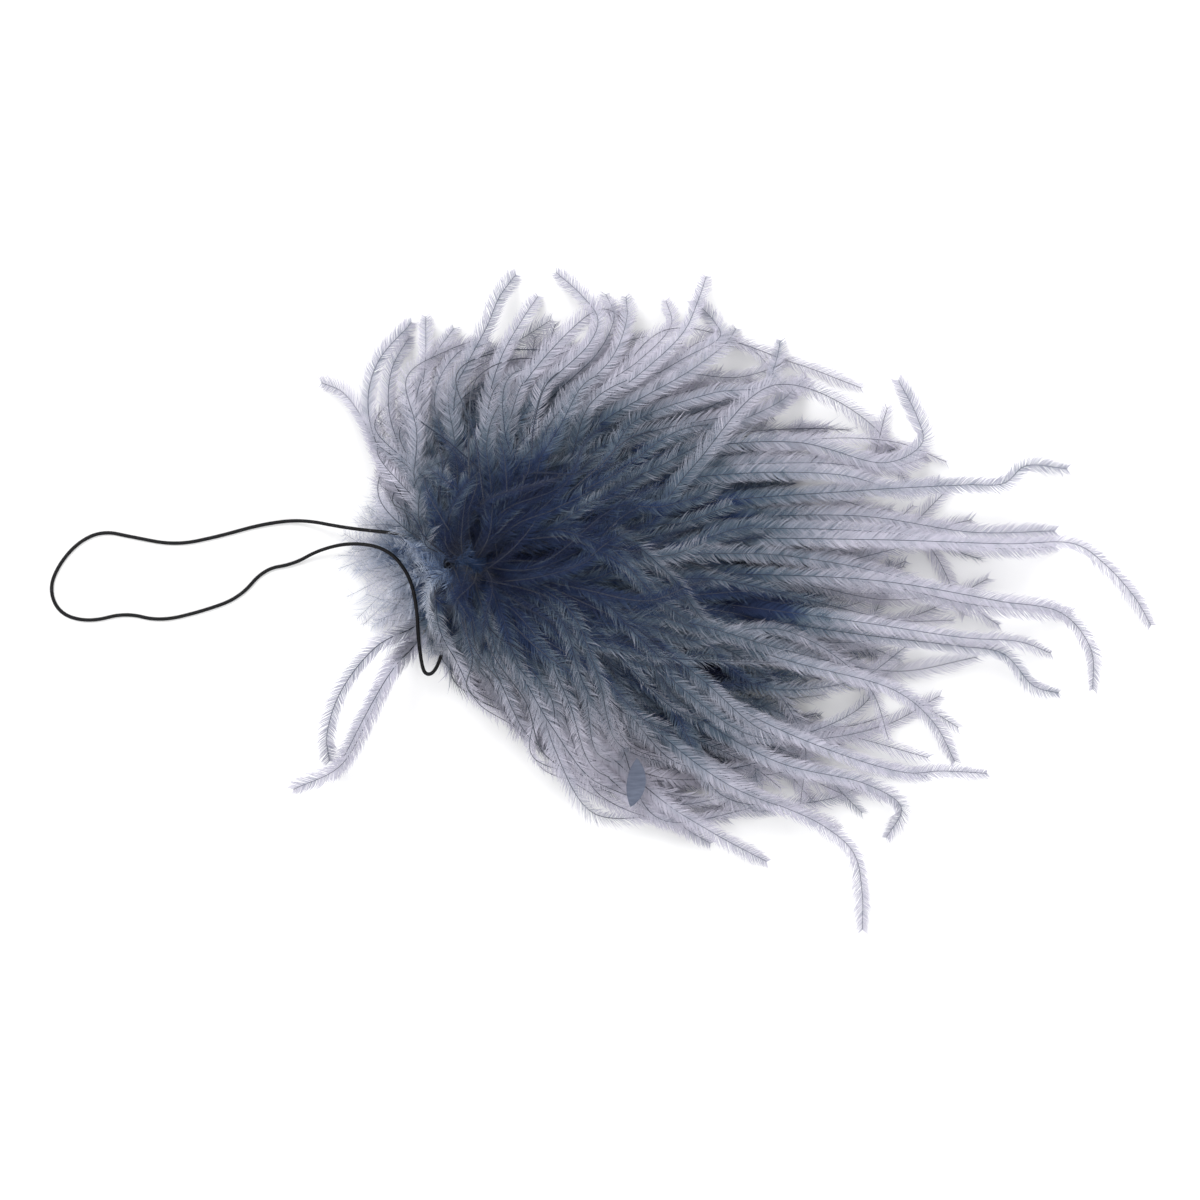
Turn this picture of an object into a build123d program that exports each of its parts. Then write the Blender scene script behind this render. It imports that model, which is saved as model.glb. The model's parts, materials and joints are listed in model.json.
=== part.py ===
from build123d import *
import math
import os

# Short ostrich plume on an elastic loop, lying on its side on a flat surface at Z = 0.
# All sizes are in millimetres. +X runs from the tie towards the longest tips, +Z is up.
# The origin is under the middle of the plume's box, without the elastic cord.

# ---- driving dimensions -------------------------------------------------------------
TIE_X = -63.1
TIE_Y = 8.75
BINDING_HEIGHT = 11.0  # height of the binding's axis above the surface
FIT_GAP = 0.05  # between the wound layers of the binding
QUILL_GAP = 0.12  # between neighbouring quills

QUILL_RADIUS = 1.05
QUILL_TIP_RADIUS = 0.75
QUILL_LENGTH = 13.6
QUILLS_ROUND = 6  # quills in a ring about the middle one
TAPE_THICKNESS = 0.35
TAPE_LENGTH = 10.5
THREAD_DIAMETER = 0.5
THREAD_TURNS = 7
THREAD_X = 2.2  # middle of the thread's turns, from the tie
GLUE_LENGTH = 1.4
GLUE_OUTER_INSET = 1.0  # how far inside the tape's surface the cap's end lies
GLUE_INNER_INSET = 0.2  # and its face at the quills

ELASTIC_DIAMETER = 0.9
KNOT_RADIUS = 1.5
KNOT_GAP = 0.2  # from the knot's turns to the elastic that swings about it
KNOT_TURN_TILTS = ((35, 20, 0), (-50, 30, 0))  # degrees, of the knot's two turns
BEND_SHARE = 0.45  # of the shorter run beside a bend, which its arc may use
HITCH_TURNS = 2
HITCH_X = -3.6  # middle of the elastic's turns, from the tie

TUFT_INNER_RADIUS = 10.5
TUFT_FLOOR = 0.4  # the tufts that swing stay just off the surface
LAYER_HEIGHT = 17.7  # top of the lower layer of tufts
CROWN_FLOOR = LAYER_HEIGHT + 0.5
CROWN_TOP = 44.0
CROWN_INNER_RADIUS = 14.5

STEM_START_RADIUS = 8.2
STEM_BUTT_RADIUS = 0.8
STEM_TIP_RADIUS = 0.3
STEM_TIP_HEIGHT = 6.0

# Heights of the two layers' upper surfaces at some distances from the tie.
LAYER_TOP = [(0, 13.0), (12, 15.0), (35, 18.0), (95, 16.0), (140, 8.0), (180, 3.0)]
CROWN_TOPS = [(0, 29.0), (12, 32.0), (45, 42.0), (70, CROWN_TOP), (100, 35.0), (140, 20.0)]
DOWN_TOP = [(0, 4.6), (15, 4.4), (24, 3.8), (34, 2.0), (40, 1.2)]
WISP_TOP = [(0, 3.0), (30, 4.2), (60, 3.0), (75, 1.6)]

# Outlines of the lower tufts: (angle in degrees, distance from the tie) along the outer
# edge. The first and last points also set the tuft's two straight sides.
LOWER_TUFTS = {
    "upper_left": [(86, 58), (94, 60), (100, 63.5), (108, 61), (117, 51), (129.5, 58.6), (125, 40)],
    "top": [(58, 70), (63, 76), (68, 71), (73.4, 76.4), (78, 69), (82, 72)],
    "upper_right": [(36.5, 95), (41, 88), (46, 85), (50.6, 93), (54, 82)],
    "right_high": [(14, 116), (18, 110), (23.2, 116.5), (28, 97), (32.5, 94)],
    "right": [(-9, 140), (-5.05, 170.7), (-1, 150), (3.3, 146), (6, 138), (9.2, 151), (10, 118)],
    "right_low": [(-26, 120), (-22, 139), (-18, 133), (-12.3, 158), (-11, 148)],
    "lower_right": [(-45.5, 102), (-42.8, 133.6), (-39, 118), (-33.5, 124.5), (-30, 121)],
    "lower": [(-70, 60), (-62, 70), (-56, 76), (-51, 92)],
    "bottom": [(-86, 42), (-80, 47), (-74, 55)],
}
RESTING_TUFTS = ("right", "right_low")  # the plume's weight lies on these
# Outlines of the upper tufts, which lie on the lower ones.
UPPER_TUFTS = {
    "upper_left": [(90, 42), (100, 49), (112, 45), (121, 34)],
    "top": [(60, 55), (70, 62), (80, 54)],
    "upper_right": [(38, 70), (45, 77), (52, 68)],
    "right_high": [(20, 84), (26, 92), (31.5, 82)],
    "crown_right": [(-7.5, 110), (-1, 126), (8, 104)],
    "crown_low": [(-19, 94), (-14, 116), (-8.5, 108)],
    "lower_right": [(-44.5, 84), (-39, 100), (-34, 92)],
    "lower": [(-68, 52), (-60, 66), (-53, 66)],
}
# Outlines of the fine down about the quill butts.
DOWN_TUFTS = {
    "down_upper": [(134, 27), (143, 34), (151, 29), (158, 31)],
    "down_left": [(160, 30), (171, 31), (180, 33), (190, 32.5), (202, 30)],
    "down_lower": [(204, 31), (214, 33), (226, 29), (238, 30)],
}
DOWN_INNER_RADIUS = 14.0
# The two thin strands that lie out at the lower left.
WISP_OUTLINE = [(-131, 58), (-128, 71.3), (-124, 60)]
WISP_INNER_RADIUS = 31.0

# Middle line of each tuft's shaft: (angle in degrees, length).
STEMS = {
    "upper_left": (103, 38),
    "top": (70, 48),
    "upper_right": (46, 58),
    "right_high": (23, 74),
    "right": (0, 98),
    "right_low": (-18, 92),
    "lower_right": (-38, 80),
    "lower": (-60, 46),
    "bottom": (-80, 24),
}
CROWN_STEM = (-4, 78)
CROWN_STEM_HEIGHTS = (CROWN_FLOOR + 2.5, CROWN_FLOOR + 9.0)

# The bare shaft tip that pokes out below the plume: its ends, seen from the tie.
TIP_START = (-48.9, 63.2)
TIP_END = (-56.2, 71.9)
TIP_HALF_WIDTHS = (3.0, 1.7)  # on its +X side and on its -X side
TIP_THICKNESS = 0.5
TIP_HEIGHT = 12.5

# The elastic's route after it leaves the knot: X and Y from the tie, and height.
ELASTIC_ROUTE = [
    (-11.2, 5.6, 12.4),
    (-14.8, 7.4, 11.4),
    (-21.5, 8.1, 9.6),
    (-31.0, 9.2, 6.4),
    (-42.0, 11.4, 1.0),
    (-52.0, 10.2, 0.5),
    (-62.5, 7.2, 0.5),
    (-73.5, 4.9, 0.5),
    (-84.5, 7.0, 0.5),
    (-91.5, 8.5, 0.5),
    (-97.5, 6.0, 0.5),
    (-102.5, 0.5, 0.5),
    (-105.2, -6.0, 0.5),
    (-102.5, -12.3, 0.5),
    (-95.0, -14.3, 0.5),
    (-86.0, -11.9, 0.5),
    (-77.5, -14.1, 0.5),
    (-67.0, -11.6, 0.5),
    (-57.5, -8.2, 0.5),
    (-51.5, -1.0, 0.5),
    (-44.0, 0.2, 0.6),
    (-37.5, 3.8, 2.4),
    (-29.0, 5.6, 6.0),
    (-20.0, 4.0, 7.2),
    (-14.6, -2.7, 7.4),
    (-12.9, -10.5, 7.4),
    (-12.6, -17.0, 7.5),
    (-12.1, -21.7, 7.6),
    (-11.5, -25.4, 7.8),
    (-10.7, -27.1, 7.9),
    (-9.1, -27.1, 8.0),
    (-7.6, -24.9, 8.2),
    (-6.2, -20.6, 8.7),
    (-6.4, -13.0, 9.9),
    (-8.8, -5.5, 11.9),
]
KNOT_FROM_TIE = (-10.4, 0.5, 13.0)

# ---- shared shapes ------------------------------------------------------------------
TIE = Pos(TIE_X, TIE_Y, 0)
HULL = 400.0  # larger than the whole plume
RING_RADIUS = 2 * QUILL_RADIUS + QUILL_GAP
BUNDLE_RADIUS = RING_RADIUS + QUILL_RADIUS
TAPE_OUTER = BUNDLE_RADIUS + FIT_GAP + TAPE_THICKNESS


def polar(angle, distance):
    """A point in plan, from the tie."""
    return (
        distance * math.cos(math.radians(angle)),
        distance * math.sin(math.radians(angle)),
    )


def dome(tops, floor):
    """A round body about the tie's upright axis, from floor up to the given heights."""
    reach = tops[-1][0]
    curve = Spline(*[(r, z) for r, z in tops])
    wall = Polyline((reach, tops[-1][1]), (reach, floor), (0, floor), (0, tops[0][1]))
    section = Plane.XZ * make_face(curve + wall)
    return revolve(section, Axis.Z)


def petal(outline, inner, body):
    """The share of a round body that lies inside one tuft's outline."""
    start, end = outline[0][0], outline[-1][0]
    outer = [polar(angle, distance) for angle, distance in outline]
    points = [polar(start, inner), *outer, polar(end, inner)]
    face = make_face(Polyline(*points, close=True))
    return TIE * (body & extrude(face, HULL))


def stem(angle, length, start_height, end_height):
    """A tapered shaft that runs outward from just beyond the binding."""
    a = Vector(*polar(angle, STEM_START_RADIUS), start_height)
    b = Vector(*polar(angle, length), end_height)
    place = Plane(origin=(a + b) * 0.5, z_dir=b - a)
    shaft = Cone(STEM_BUTT_RADIUS, STEM_TIP_RADIUS, (b - a).length)
    return TIE * (place * shaft)


# ---- the binding that holds the butts together --------------------------------------
def along_binding(shape, x=0.0):
    """Turns an upright shape to lie along the binding, its middle at x from the tie."""
    return TIE * Pos(x, 0, BINDING_HEIGHT) * Rot(0, 90, 0) * shape


def quill_butts():
    quill = Cone(QUILL_RADIUS, QUILL_TIP_RADIUS, QUILL_LENGTH)
    quills = [quill]
    for i in range(QUILLS_ROUND):
        turn = 360 / QUILLS_ROUND * i
        x, y = polar(turn, RING_RADIUS)
        quills.append(Pos(x, y, 0) * quill)
    return Compound([along_binding(q) for q in quills])


def binding_tape():
    sleeve = Cylinder(TAPE_OUTER, TAPE_LENGTH) - Cylinder(BUNDLE_RADIUS + FIT_GAP, TAPE_LENGTH)
    return along_binding(sleeve)


def binding_thread():
    radius = TAPE_OUTER + FIT_GAP + THREAD_DIAMETER / 2
    return wound_rings(radius, THREAD_DIAMETER, THREAD_TURNS, THREAD_X)


def wound_rings(radius, wire, turns, x):
    """Turns of a thread laid side by side, each a closed ring."""
    pitch = wire + FIT_GAP
    first = -pitch * (turns - 1) / 2
    rings = [Pos(0, 0, first + pitch * i) * Torus(radius, wire / 2) for i in range(turns)]
    return Compound([along_binding(r, x) for r in rings])


def glue_cap():
    x = -QUILL_LENGTH / 2 - FIT_GAP - GLUE_LENGTH / 2
    cap = Cone(TAPE_OUTER - GLUE_OUTER_INSET, TAPE_OUTER - GLUE_INNER_INSET, GLUE_LENGTH)
    return along_binding(cap, x)


def elastic_hitch():
    """The turns of elastic about the binding, which carry the knotted loop."""
    radius = TAPE_OUTER + FIT_GAP + ELASTIC_DIAMETER / 2
    return wound_rings(radius, ELASTIC_DIAMETER, HITCH_TURNS, HITCH_X)


# ---- the elastic --------------------------------------------------------------------
KNOT = Vector(TIE_X, TIE_Y, 0) + Vector(*KNOT_FROM_TIE)


def elastic_knot():
    """An overhand knot: a ball with two turns of the elastic proud of it."""
    place = Pos(*KNOT)
    turn = Torus(KNOT_RADIUS - ELASTIC_DIAMETER / 2, ELASTIC_DIAMETER / 2)
    ball = Sphere(KNOT_RADIUS - ELASTIC_DIAMETER / 3)
    first, second = (Rot(*tilt) * turn for tilt in KNOT_TURN_TILTS)
    return place * (ball + first + second)


def elastic_path():
    """The loop's middle line, from the knot out and back to it."""
    route = [Vector(TIE_X + x, TIE_Y + y, z) for x, y, z in ELASTIC_ROUTE]
    reach = KNOT_RADIUS + KNOT_GAP
    first = KNOT + (route[0] - KNOT).normalized() * reach
    last = KNOT + (route[-1] - KNOT).normalized() * reach
    points = [first, *route, last]
    radii = []
    for before, here, after in zip(points, points[1:], points[2:]):
        turn = (here - before).get_angle(after - here)
        run = min((here - before).length, (after - here).length)
        radius = BEND_SHARE * run / math.tan(math.radians(turn / 2))
        radii.append(radius)
        print(f"elastic: run {run:.1f}, turn {turn:.1f} degrees, radius {radius:.2f}")
    return FilletPolyline(*points, radius=radii)


def elastic_loop():
    path = elastic_path()
    face = Plane(origin=path @ 0, z_dir=path % 0) * Circle(ELASTIC_DIAMETER / 2)
    tube = sweep(face, path)
    expected = math.pi * (ELASTIC_DIAMETER / 2) ** 2 * path.length
    print(f"elastic: length {path.length:.1f}, volume {tube.volume:.2f} of {expected:.2f}")
    return tube


# ---- the bare shaft tip -------------------------------------------------------------
def bare_tip():
    """A lance-shaped blade, pointed at both ends and fuller on its +X side."""
    start, end = Vector(*polar(*TIP_START)), Vector(*polar(*TIP_END))
    middle = (start + end) * 0.5
    side = (end - start).rotate(Axis.Z, 90).normalized()
    right, left = TIP_HALF_WIDTHS
    edges = ThreePointArc(start, middle + side * right, end)
    edges += ThreePointArc(end, middle - side * left, start)
    return TIE * Pos(0, 0, TIP_HEIGHT) * extrude(make_face(edges), TIP_THICKNESS)


# ---- every sub-part, by name --------------------------------------------------------
parts = {
    "quill_butts": quill_butts(),
    "binding_tape": binding_tape(),
    "binding_thread": binding_thread(),
    "glue_cap": glue_cap(),
    "elastic_hitch": elastic_hitch(),
    "elastic_knot": elastic_knot(),
    "elastic_loop": elastic_loop(),
    "bare_shaft_tip": bare_tip(),
}

below_crown = Cylinder(HULL, 2 * LAYER_HEIGHT)
resting_body = dome(LAYER_TOP, 0) & below_crown
swinging_body = dome(LAYER_TOP, TUFT_FLOOR) & below_crown
for name, outline in LOWER_TUFTS.items():
    body = resting_body if name in RESTING_TUFTS else swinging_body
    parts[f"tuft_{name}"] = petal(outline, TUFT_INNER_RADIUS, body)

upper_body = dome(CROWN_TOPS, CROWN_FLOOR)
for name, outline in UPPER_TUFTS.items():
    if name.startswith("crown"):
        parts[name] = petal(outline, CROWN_INNER_RADIUS, upper_body)
    else:
        parts[f"top_tuft_{name}"] = petal(outline, TUFT_INNER_RADIUS, upper_body)

down_body = dome(DOWN_TOP, 0)
for name, outline in DOWN_TUFTS.items():
    parts[name] = petal(outline, DOWN_INNER_RADIUS, down_body)

parts["wisp_lower_left"] = petal(WISP_OUTLINE, WISP_INNER_RADIUS, dome(WISP_TOP, TUFT_FLOOR))

for name, (angle, length) in STEMS.items():
    parts[f"stem_{name}"] = stem(angle, length, BINDING_HEIGHT, STEM_TIP_HEIGHT)
parts["stem_crown"] = stem(*CROWN_STEM, *CROWN_STEM_HEIGHTS)

os.makedirs("parts", exist_ok=True)
for name, shape in parts.items():
    export_step(shape, f"parts/{name}.step")
    box = shape.bounding_box()
    print(f"{name}: volume {shape.volume:.1f}, from {box.min} to {box.max}")
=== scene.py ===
import json
import math

import bpy
import numpy as np
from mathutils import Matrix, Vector


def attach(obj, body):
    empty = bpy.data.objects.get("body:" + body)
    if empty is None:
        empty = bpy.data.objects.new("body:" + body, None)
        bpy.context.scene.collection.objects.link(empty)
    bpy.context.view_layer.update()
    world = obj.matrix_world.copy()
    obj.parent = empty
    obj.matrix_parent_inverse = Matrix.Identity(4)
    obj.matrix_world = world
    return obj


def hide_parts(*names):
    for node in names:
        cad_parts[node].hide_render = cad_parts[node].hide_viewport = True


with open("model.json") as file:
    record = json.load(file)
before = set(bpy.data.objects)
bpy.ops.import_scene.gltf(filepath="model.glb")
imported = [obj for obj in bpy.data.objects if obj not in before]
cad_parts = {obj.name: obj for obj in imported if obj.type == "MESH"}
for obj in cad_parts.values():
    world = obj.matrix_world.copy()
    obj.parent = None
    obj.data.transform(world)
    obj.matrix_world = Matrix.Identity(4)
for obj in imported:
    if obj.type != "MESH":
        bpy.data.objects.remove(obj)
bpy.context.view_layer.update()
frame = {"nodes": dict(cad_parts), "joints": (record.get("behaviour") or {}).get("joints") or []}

# The strands are laid out in millimetres from the tie, and MM turns them into metres. The
# camera, the elastic, the floor and the lamps are in metres.
MM = 0.001
JOINTS = {j["name"]: j for j in frame["joints"]}
TIE = np.array(JOINTS["plume_spread"]["pos_m"]) * [1, 1, 0]
KNOT = np.array(JOINTS["elastic_swing"]["pos_m"])
SEED = 41

# ---- camera -------------------------------------------------------------------------
VIEW_WIDTH = 0.300  # the frame's width on the floor, in metres
VIEW_CENTRE = (-0.0306, 0.0)
LENS = 100.0
SENSOR = 36.0
CLIP_END = 20


def make_camera():
    data = bpy.data.cameras.new("camera")
    data.lens = LENS
    data.sensor_width = SENSOR
    data.clip_end = CLIP_END
    camera = bpy.data.objects.new("camera", data)
    camera.location = (*VIEW_CENTRE, VIEW_WIDTH * LENS / SENSOR)
    bpy.context.collection.objects.link(camera)
    bpy.context.scene.camera = camera


# ---- materials ----------------------------------------------------------------------
def new_material(name, roughness):
    """A material, its nodes, its links and its Principled shader."""
    material = bpy.data.materials.new(name)
    material.use_nodes = True
    nodes, links = material.node_tree.nodes, material.node_tree.links
    shader = nodes["Principled BSDF"]
    shader.inputs["Roughness"].default_value = roughness
    return material, nodes, links, shader


def ramp_node(nodes, stops):
    ramp = nodes.new("ShaderNodeValToRGB")
    elements = ramp.color_ramp.elements
    while len(elements) < len(stops):
        elements.new(0.5)
    for element, (place, colour) in zip(elements, stops):
        element.position = place
        element.color = (*colour, 1)
    return ramp


def noise_node(nodes, scale, detail=3.0, roughness=0.5):
    noise = nodes.new("ShaderNodeTexNoise")
    noise.inputs["Scale"].default_value = scale
    noise.inputs["Detail"].default_value = detail
    noise.inputs["Roughness"].default_value = roughness
    return noise


def math_node(nodes, operation, value=0.0):
    node = nodes.new("ShaderNodeMath")
    node.operation = operation
    node.inputs[1].default_value = value
    return node


MOTTLE_SCALE = 260.0
MOTTLE_DETAIL = 4.0
MOTTLE_STRENGTH = 0.3
NOISE_MIDDLE = 0.5
FEATHER_ROUGHNESS = 0.6
FEATHER_SHEEN = (0.2, 0.45)  # its weight and its roughness
FEATHER_SPECULAR = 0.2
GRAIN_DETAIL = 4.0
GRAIN_ROUGHNESS = 0.6
GRAIN_ENDS = (0.3, 0.7)  # the noise that reads as its lowest and highest colour
RELIEF_DEPTH = 0.0001


def feather_material(name, stops, shaft):
    """Dyed barbs: colour follows the tone attribute, from navy in the plume's heart to pale at its
    edge, which is partly the dye and partly painted shade, with a fine mottle of the dye, and shafts
    are darker."""
    material, nodes, links, shader = new_material(name, FEATHER_ROUGHNESS)
    sheen, sheen_roughness = FEATHER_SHEEN
    shader.inputs["Sheen Weight"].default_value = sheen
    shader.inputs["Sheen Roughness"].default_value = sheen_roughness
    shader.inputs["Specular IOR Level"].default_value = FEATHER_SPECULAR
    tone = nodes.new("ShaderNodeAttribute")
    tone.attribute_name = "tone"
    mottle = noise_node(nodes, MOTTLE_SCALE, MOTTLE_DETAIL)
    place = nodes.new("ShaderNodeTexCoord")
    links.new(place.outputs["Object"], mottle.inputs["Vector"])
    shift = math_node(nodes, "SUBTRACT", NOISE_MIDDLE)
    links.new(mottle.outputs["Fac"], shift.inputs[0])
    scaled = math_node(nodes, "MULTIPLY", MOTTLE_STRENGTH)
    links.new(shift.outputs[0], scaled.inputs[0])
    total = math_node(nodes, "ADD")
    links.new(tone.outputs["Fac"], total.inputs[0])
    links.new(scaled.outputs[0], total.inputs[1])
    ramp = ramp_node(nodes, stops)
    links.new(total.outputs[0], ramp.inputs["Fac"])
    part = nodes.new("ShaderNodeAttribute")
    part.attribute_name = "shaft"
    mix = nodes.new("ShaderNodeMix")
    mix.data_type = "RGBA"
    links.new(part.outputs["Fac"], mix.inputs["Factor"])
    links.new(ramp.outputs["Color"], mix.inputs["A"])
    mix.inputs["B"].default_value = (*shaft, 1)
    links.new(mix.outputs["Result"], shader.inputs["Base Color"])
    return material


def grained_material(name, low, high, scale, stretch, roughness, bump):
    """A binding material: its grain is noise, longer one way by stretch, in colour and
    relief."""
    material, nodes, links, shader = new_material(name, roughness)
    place = nodes.new("ShaderNodeTexCoord")
    mapping = nodes.new("ShaderNodeMapping")
    mapping.inputs["Scale"].default_value = stretch
    links.new(place.outputs["Object"], mapping.inputs["Vector"])
    grain = noise_node(nodes, scale, GRAIN_DETAIL, GRAIN_ROUGHNESS)
    links.new(mapping.outputs["Vector"], grain.inputs["Vector"])
    ramp = ramp_node(nodes, list(zip(GRAIN_ENDS, (low, high))))
    links.new(grain.outputs["Fac"], ramp.inputs["Fac"])
    links.new(ramp.outputs["Color"], shader.inputs["Base Color"])
    relief = nodes.new("ShaderNodeBump")
    relief.inputs["Strength"].default_value = bump
    relief.inputs["Distance"].default_value = RELIEF_DEPTH
    links.new(grain.outputs["Fac"], relief.inputs["Height"])
    links.new(relief.outputs["Normal"], shader.inputs["Normal"])
    return material


def dress(material, *names):
    """Gives CAD nodes that stay in sight their finished material."""
    for name in names:
        data = frame["nodes"][name].data
        data.materials.clear()
        data.materials.append(material)


# ---- the elastic loop ---------------------------------------------------------------
ELASTIC_DIAMETER = 0.0009
ELASTIC_ROUGHNESS = 0.6
ELASTIC_SPECULAR = 0.2
ELASTIC_RELIEF = 0.5
# The elastic's black, and at the noise's top a paler grey that is a painted glint of the weave.
ELASTIC_STOPS_WITH_GLINTS = [
    (0.0, (0.002, 0.002, 0.003)), (0.66, (0.004, 0.004, 0.005)), (0.85, (0.09, 0.085, 0.1)),
]
GLINT_AND_RIB_SCALE = 1400.0
GLINT_AND_RIB_DETAIL = 2.0
ROUND_FINENESS = 4  # of the tube, round it
RUN_FINENESS = 12  # and along it
CURVE_ORDER = 3
KNOT_REACH = 0.0017  # from the knot's middle to the elastic's ends
# The loop's route from the tie, in metres.
ELASTIC_ROUTE = [
    (-0.0112, 0.0056, 0.0124),
    (-0.0148, 0.0074, 0.0114),
    (-0.0215, 0.0081, 0.0096),
    (-0.0310, 0.0092, 0.0064),
    (-0.0420, 0.0114, 0.0010),
    (-0.0520, 0.0102, 0.0005),
    (-0.0625, 0.0072, 0.0005),
    (-0.0735, 0.0049, 0.0005),
    (-0.0845, 0.0070, 0.0005),
    (-0.0915, 0.0085, 0.0005),
    (-0.0975, 0.0060, 0.0005),
    (-0.1025, 0.0005, 0.0005),
    (-0.1052, -0.0060, 0.0005),
    (-0.1025, -0.0123, 0.0005),
    (-0.0950, -0.0143, 0.0005),
    (-0.0860, -0.0119, 0.0005),
    (-0.0775, -0.0141, 0.0005),
    (-0.0670, -0.0116, 0.0005),
    (-0.0575, -0.0082, 0.0005),
    (-0.0515, -0.0010, 0.0005),
    (-0.0440, 0.0002, 0.0006),
    (-0.0375, 0.0038, 0.0024),
    (-0.0290, 0.0056, 0.0060),
    (-0.0200, 0.0040, 0.0072),
    (-0.0146, -0.0027, 0.0074),
    (-0.0129, -0.0105, 0.0074),
    (-0.0126, -0.0170, 0.0075),
    (-0.0121, -0.0217, 0.0076),
    (-0.0115, -0.0254, 0.0078),
    (-0.0107, -0.0271, 0.0079),
    (-0.0091, -0.0271, 0.0080),
    (-0.0076, -0.0249, 0.0082),
    (-0.0062, -0.0206, 0.0087),
    (-0.0064, -0.0130, 0.0099),
    (-0.0088, -0.0055, 0.0119),
]


def toward(point, reach):
    """The point at that distance from the knot, towards another."""
    way = np.array(point) - KNOT
    return KNOT + way / np.linalg.norm(way) * reach


def elastic_material():
    """Black woven elastic: fine ribs, and paler flecks that are painted glints of the weave."""
    material, nodes, links, shader = new_material("elastic_black", ELASTIC_ROUGHNESS)
    shader.inputs["Specular IOR Level"].default_value = ELASTIC_SPECULAR
    place = nodes.new("ShaderNodeTexCoord")
    glints_and_ribs = noise_node(nodes, GLINT_AND_RIB_SCALE, GLINT_AND_RIB_DETAIL)
    links.new(place.outputs["Object"], glints_and_ribs.inputs["Vector"])
    ramp = ramp_node(nodes, ELASTIC_STOPS_WITH_GLINTS)
    links.new(glints_and_ribs.outputs["Fac"], ramp.inputs["Fac"])
    links.new(ramp.outputs["Color"], shader.inputs["Base Color"])
    bump = nodes.new("ShaderNodeBump")
    bump.inputs["Strength"].default_value = ELASTIC_RELIEF
    bump.inputs["Distance"].default_value = RELIEF_DEPTH
    links.new(glints_and_ribs.outputs["Fac"], bump.inputs["Height"])
    links.new(bump.outputs["Normal"], shader.inputs["Normal"])
    return material


def make_elastic(material):
    """The closed loop, as one tube from the knot out and back to it."""
    route = [TIE + np.array(p) for p in ELASTIC_ROUTE]
    points = [toward(route[0], KNOT_REACH), *route, toward(route[-1], KNOT_REACH)]
    data = bpy.data.curves.new("elastic", "CURVE")
    data.dimensions = "3D"
    data.bevel_depth = ELASTIC_DIAMETER / 2
    data.bevel_resolution = ROUND_FINENESS
    data.resolution_u = RUN_FINENESS
    data.use_fill_caps = True
    spline = data.splines.new("NURBS")
    spline.points.add(len(points) - 1)
    for point, place in zip(spline.points, points):
        point.co = (*place, 1)
    spline.order_u = CURVE_ORDER
    spline.use_endpoint_u = True
    data.materials.append(material)
    piece = bpy.data.objects.new("elastic_cord", data)
    bpy.context.collection.objects.link(piece)
    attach(piece, "elastic")
    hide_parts("elastic_loop")


# ---- strands ------------------------------------------------------------------------
SPLINE_SAMPLES = 24  # between two of a path's given points
FEWEST_POINTS = 6


def smooth(t):
    t = np.clip(t, 0, 1)
    return t * t * (3 - 2 * t)


def spline_path(points, step=1.2):
    """Points about step apart on a smooth curve through the given ones."""
    p = np.array(points, float)
    knots = np.concatenate([[0], np.cumsum(np.linalg.norm(np.diff(p, axis=0), axis=1) ** 0.5)])
    slopes = np.gradient(p, knots, axis=0)
    fine = []
    for i in range(len(p) - 1):
        gap = knots[i + 1] - knots[i]
        t = np.linspace(0, 1, SPLINE_SAMPLES, endpoint=False)[:, None]
        fine.append(
            (2 * t**3 - 3 * t**2 + 1) * p[i]
            + (t**3 - 2 * t**2 + t) * gap * slopes[i]
            + (3 * t**2 - 2 * t**3) * p[i + 1]
            + (t**3 - t**2) * gap * slopes[i + 1]
        )
    fine = np.concatenate([*fine, p[-1:]])
    along = np.concatenate([[0], np.cumsum(np.linalg.norm(np.diff(fine, axis=0), axis=1))])
    at = np.linspace(0, along[-1], max(FEWEST_POINTS, int(along[-1] / step)))
    return np.stack([np.interp(at, along, fine[:, k]) for k in range(3)], axis=1)


def unit(v):
    return v / np.maximum(np.linalg.norm(v, axis=-1, keepdims=True), 1e-9)


# How far the dense plume reaches from the tie: (angle in degrees, distance).
DENSE_REACH = [(-153, 20), (-120, 26), (-99, 29), (-80, 35), (-68, 43), (-55, 62), (-45, 84),
               (-39, 94), (-28, 106), (-10, 111), (0, 113), (8, 108), (16, 103), (31, 82), (50, 67),
               (68, 60), (90, 52), (113, 42), (130, 27)]
REACH_ANGLES, REACHES = zip(*DENSE_REACH)
# The tone at shares of that reach, partly the dye's own gradient from navy to pale and partly painted
# shade that darkens the dense heart, and how much painted shade darkens the lowest strands.
TONE_SHARES = (0.0, 0.14, 0.34, 0.52, 0.7, 0.85, 1.05)
TONE_LEVELS = (0.1, 0.24, 0.39, 0.53, 0.73, 0.88, 0.97)
DEEP_SHADE = 0.5
DEEP_SHARES = (0.55, 0.38)  # that shade is full up to a share of the reach, then fades out
OPEN_HOLLOW = 0.6  # the share of a hollow's shade that its highest strands take
OPEN_HEIGHT = 27.0  # strands above this height are in full light
HOLLOW_FALLOFF = 1.2

# Hollows between locks, where painted shade darkens the strands: middle, half sizes and slope in
# plan, and the shade's strength.
HOLLOWS = [
    ((15, 18), (12, 6.5), 20, 0.4), ((22, 3), (24, 4.5), 4, 0.28), ((11, -15), (12, 7), -55, 0.28),
    ((70, -9), (20, 4.2), -6, 0.68), ((31, 32), (10, 4), 25, 0.24), ((55, -42), (14, 6), -28, 0.26),
    ((46, 12), (16, 3.2), 8, 0.24), ((60, -25), (18, 3.5), -16, 0.28),
]


def dense_reach(angle):
    """How far the dense plume reaches at an angle."""
    return np.interp(angle, REACH_ANGLES, REACHES)


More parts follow.
